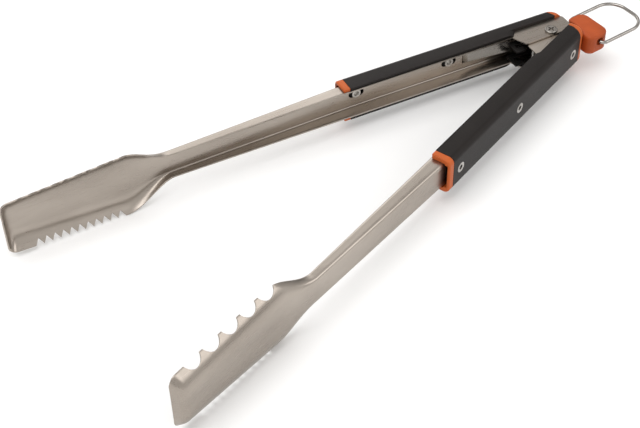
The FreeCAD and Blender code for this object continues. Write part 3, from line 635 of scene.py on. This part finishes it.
def jaw(side):
    """The arm from under the front trim to its tip, as one double-skinned sheet."""
    rings = jaw_rings(side)
    count = len(rings[0])
    points = [point for row in rings for point in row]
    faces = bands(len(rings), count) + tip_faces(count, (len(rings) - 1) * count)
    node = "arm_%s_channel" % LETTER[side]
    piece = new_object("jaw_" + LETTER[side], points, faces, STEEL[side], SWEPT_SHARP)
    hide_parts(node)
    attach(piece, BODY[side])


def handle_channel(side):
    """The rear of the arm: the CAD channel up to the seam under the front trim."""
    node = "arm_%s_channel" % LETTER[side]
    mesh = welded_copy(node)
    work = bmesh.new()
    work.from_mesh(mesh)
    forward = swing(side) @ Vector((-1, 0, 0))
    bmesh.ops.bisect_plane(
        work,
        geom=work.verts[:] + work.edges[:] + work.faces[:],
        plane_co=arm_point(side, SEAM, 0, 0),
        plane_no=forward,
        clear_outer=True,
    )
    work.to_mesh(mesh)
    work.free()
    piece = finish_mesh("handle_channel_" + LETTER[side], mesh, STEEL[side], CAD_SHARP)
    add_bevel(piece, width=0.2, segments=2)
    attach(piece, BODY[side])


# ---------------------------------------------------------------- pivot head and wire loop


def head_drop(share, angle):
    """How far the screw head's face lies below its top, at a share of its radius."""
    drop = 0.0
    if share > HEAD_ROUND_FROM:
        rounding = (share - HEAD_ROUND_FROM) / (1 - HEAD_ROUND_FROM)
        drop = HEAD_ROUND * (1 - math.sqrt(max(1 - rounding**2, 0.0)))
    elif GROOVE_FROM < share < GROOVE_TO:
        drop = GROOVE_DEPTH
    elif share <= GROOVE_FROM:
        drop = DISH_DEPTH + DISH_SLOPE * (share / GROOVE_FROM) ** 2
    x = share * math.cos(angle) * HEAD_RADIUS
    y = share * math.sin(angle) * HEAD_RADIUS
    for across, along in ((x, y), (y, x)):
        half = CROSS_HALF - CROSS_TAPER * abs(along) / CROSS_TAPER_LENGTH
        if abs(across) < half and abs(along) < CROSS_REACH:
            return drop + CROSS_DEPTH
    return drop


def pivot_head():
    """Screw head with a rounded rim, a groove inside it and a cross recess."""
    low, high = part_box("pivot_screw")
    top = high[2]
    radius = (high[0] - low[0]) / 2
    angles = [2 * math.pi * turn / HEAD_TURNS for turn in range(HEAD_TURNS)]

    def point(share, angle, drop):
        x = PIVOT.x + radius * share * math.cos(angle)
        y = PIVOT.y + radius * share * math.sin(angle)
        return Vector((x, y, top - drop * MM))

    points = [point(0, 0, head_drop(0, 0))]
    for share in HEAD_SHARES:
        points += [point(share, angle, head_drop(share, angle)) for angle in angles]
    points += [point(1.0, angle, HEAD_HEIGHT) for angle in angles]
    last = 1 + len(HEAD_SHARES) * HEAD_TURNS
    faces = [(0, 1 + turn, 1 + (turn + 1) % HEAD_TURNS) for turn in range(HEAD_TURNS)]
    faces += bands(len(HEAD_SHARES) + 1, HEAD_TURNS, first=1)
    faces.append(tuple(last + turn for turn in range(HEAD_TURNS)))
    piece = new_object("pivot_screw_head", points, faces, SCREW, HEAD_SHARP)
    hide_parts("pivot_screw")
    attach(piece, "arm_a")


def loop_route():
    """The wire's middle line as (to the rear, along the hinge), from one inner end to the other."""
    corners = [
        Vector((0, LOOP_END)),
        Vector((0, LOOP_HALF)),
        Vector((LOOP_FAR, LOOP_HALF)),
        Vector((LOOP_FAR, -LOOP_HALF)),
        Vector((0, -LOOP_HALF)),
        Vector((0, -LOOP_END)),
    ]
    bends = [LOOP_NEAR_BEND, LOOP_FAR_BEND, LOOP_FAR_BEND, LOOP_NEAR_BEND]
    route = [corners[0]]
    for before, corner, after, bend in zip(corners, corners[1:], corners[2:], bends):
        arriving = (corner - before).normalized()
        leaving = (after - corner).normalized()
        centre = corner - arriving * bend + leaving * bend
        for step in range(LOOP_BEND_STEPS + 1):
            turn = math.pi / 2 * step / LOOP_BEND_STEPS
            ahead = arriving * bend * math.sin(turn)
            aside = leaving * bend * math.cos(turn)
            route.append(centre + ahead - aside)
    return route + [corners[-1]]


def wire_loop():
    """Round wire bent into the hanging loop, with its ends turned in to the tab."""
    rear = Vector((LOOP_AXIS.y, -LOOP_AXIS.x, 0))
    if rear.x < 0:
        rear = -rear
    route = loop_route()
    curve = bpy.data.curves.new("hanging_wire", "CURVE")
    curve.dimensions = "3D"
    curve.bevel_depth = WIRE_RADIUS * MM
    curve.bevel_resolution = 6
    curve.use_fill_caps = True
    line = curve.splines.new("POLY")
    line.use_smooth = True
    line.points.add(len(route) - 1)
    for point, place in zip(line.points, route):
        spot = LOOP_HINGE + rear * place.x * MM + LOOP_AXIS * place.y * MM
        point.co = (spot.x, spot.y, spot.z, 1.0)
    curve.materials.append(WIRE)
    piece = bpy.data.objects.new("hanging_wire", curve)
    bpy.context.scene.collection.objects.link(piece)
    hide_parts("hanging_loop")
    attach(piece, "loop")


def leaf_spring():
    """The bent strip that lies round the bush."""
    piece = finish_mesh("leaf_spring_strip", welded_copy("leaf_spring"), SPRING, CAD_SHARP)
    add_bevel(piece, width=0.12, segments=2)
    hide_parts("leaf_spring")
    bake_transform(piece)


# ---------------------------------------------------------------- all pieces

for arm in (ARM_A, ARM_B):
    grip = "grip_%s_" % LETTER[arm]
    jaw(arm)
    handle_channel(arm)
    refined(grip + "cover", GRIP, BODY[arm], width=0.45)
    refined(grip + "front_trim", TRIM, BODY[arm], width=0.8)
    refined(grip + "rear_trim", TRIM, BODY[arm], width=0.4)
    refined(grip + "rivets", RIVET, BODY[arm], width=0.25)
pivot_head()
wire_loop()
leaf_spring()
refined("pivot_sleeve", SCREW, "arm_a", width=0.15)
refined("pivot_bush", BUSH, "arm_a", width=0.15)
refined("catch_pin", PIN, "arm_b", width=0.1)
# The lock's plates carry the near-black painted shade of the hollow by the pivot.
refined("lock_plate_upper", LOCK_PAINTED_SHADE, "lock", width=0.2)
refined("lock_plate_lower", LOCK_PAINTED_SHADE, "lock", width=0.2)
refined("lock_dowel", PIN, "lock", width=0.1)
refined("lock_tab", TAB, "lock", width=0.5)


# ---------------------------------------------------------------- studio


def floor():
    """A plain pale sweep that rises far behind the object."""
    points = []
    for x in (-FLOOR_HALF, FLOOR_HALF):
        points += [(x, y, z - FLOOR_GAP) for y, z in FLOOR_PROFILE]
    rows = len(FLOOR_PROFILE)
    faces = [(row, row + 1, rows + row + 1, rows + row) for row in range(rows - 1)]
    shade = Shader("pale_floor")
    cloud = shade.noise(shade.place, scale=3.0, detail=2.0)
    pale = shade.clouded(cloud, dark=(0.90, 0.90, 0.90), light=(0.92, 0.92, 0.92))
    shade.link(pale, "Base Color")
    shade.set(Roughness=0.9)
    item = new_object("studio_floor", points, faces, shade.material, SWEPT_SHARP)


def softbox(name, place, width, depth, power):
    """A square-cornered lamp, in metres and watts, that faces the object."""
    lamp = bpy.data.lights.new(name, "AREA")
    lamp.shape = "RECTANGLE"
    lamp.size = width
    lamp.size_y = depth
    lamp.energy = power
    item = bpy.data.objects.new(name, lamp)
    item.location = place
    aim = Vector(LAMP_AIM) - Vector(place)
    item.rotation_euler = aim.to_track_quat("-Z", "Y").to_euler()
    bpy.context.scene.collection.objects.link(item)


def sky(tree, height, stops):
    """Brightness of the room by height, from its stops."""
    ramp = tree.nodes.new("ShaderNodeValToRGB")
    tree.links.new(height, ramp.inputs[0])
    items = ramp.color_ramp.elements
    while len(items) < len(stops):
        items.new(0.5)
    for element, (position, value) in zip(items, stops):
        element.position = position
        element.color = tuple(value * tint for tint in ROOM_TINT) + (1.0,)
    return ramp.outputs[0]


def halved(tree, value):
    """A direction component moved from -1..1 to 0..1."""
    item = tree.nodes.new("ShaderNodeMapRange")
    tree.links.new(value, item.inputs["Value"])
    item.inputs["From Min"].default_value = -1.0
    return item.outputs[0]


def surroundings():
    """Pale room, bright in front of the object and with a darker band low behind it."""
    world = bpy.data.worlds.new("studio")
    bpy.context.scene.world = world
    world.use_nodes = True
    tree = world.node_tree
    place = tree.nodes.new("ShaderNodeTexCoord")
    split = tree.nodes.new("ShaderNodeSeparateXYZ")
    tree.links.new(place.outputs["Generated"], split.inputs[0])
    height = halved(tree, split.outputs["Z"])
    front = sky(tree, height, FRONT_ROOM)
    behind = sky(tree, height, BACK_ROOM)
    mix = tree.nodes.new("ShaderNodeMix")
    mix.data_type = "RGBA"
    tree.links.new(halved(tree, split.outputs["Y"]), mix.inputs[MIX_FACTOR])
    tree.links.new(front, mix.inputs[MIX_FIRST])
    tree.links.new(behind, mix.inputs[MIX_SECOND])
    background = tree.nodes["Background"]
    tree.links.new(mix.outputs[MIX_RESULT], background.inputs["Color"])
    background.inputs["Strength"].default_value = ROOM_STRENGTH


def camera():
    """Camera that looks down on the object from in front of the jaws."""
    azimuth = math.radians(AZIMUTH)
    elevation = math.radians(ELEVATION)
    roll = math.radians(ROLL)
    back = Vector((
        math.sin(azimuth) * math.cos(elevation),
        -math.cos(azimuth) * math.cos(elevation),
        math.sin(elevation),
    ))
    level = Vector((0, 0, 1)).cross(back).normalized()
    rise = back.cross(level)
    right = level * math.cos(roll) + rise * math.sin(roll)
    up = rise * math.cos(roll) - level * math.sin(roll)
    lens = bpy.data.cameras.new("view")
    lens.sensor_fit = "HORIZONTAL"
    lens.sensor_width = SENSOR_WIDTH
    lens.lens = LENS
    lens.clip_start = CLIP_START * MM
    item = bpy.data.objects.new("view", lens)
    place = PIVOT + Vector(CAMERA_PLACE) * MM
    turn = Matrix((right, up, back)).transposed().to_4x4()
    item.matrix_world = Matrix.Translation(place) @ turn
    bpy.context.scene.collection.objects.link(item)
    bpy.context.scene.camera = item


floor()
surroundings()
softbox("key", place=(-0.45, 0.1, 1.4), width=1.4, depth=1.1, power=13.0)
softbox("front", place=(0.75, -0.85, 0.85), width=1.0, depth=0.6, power=3.6)
softbox("edge", place=(0.7, 1.2, 0.9), width=0.7, depth=0.7, power=2.5)
camera()
bpy.context.scene.view_settings.view_transform = "Standard"

bpy.context.view_layer.update()
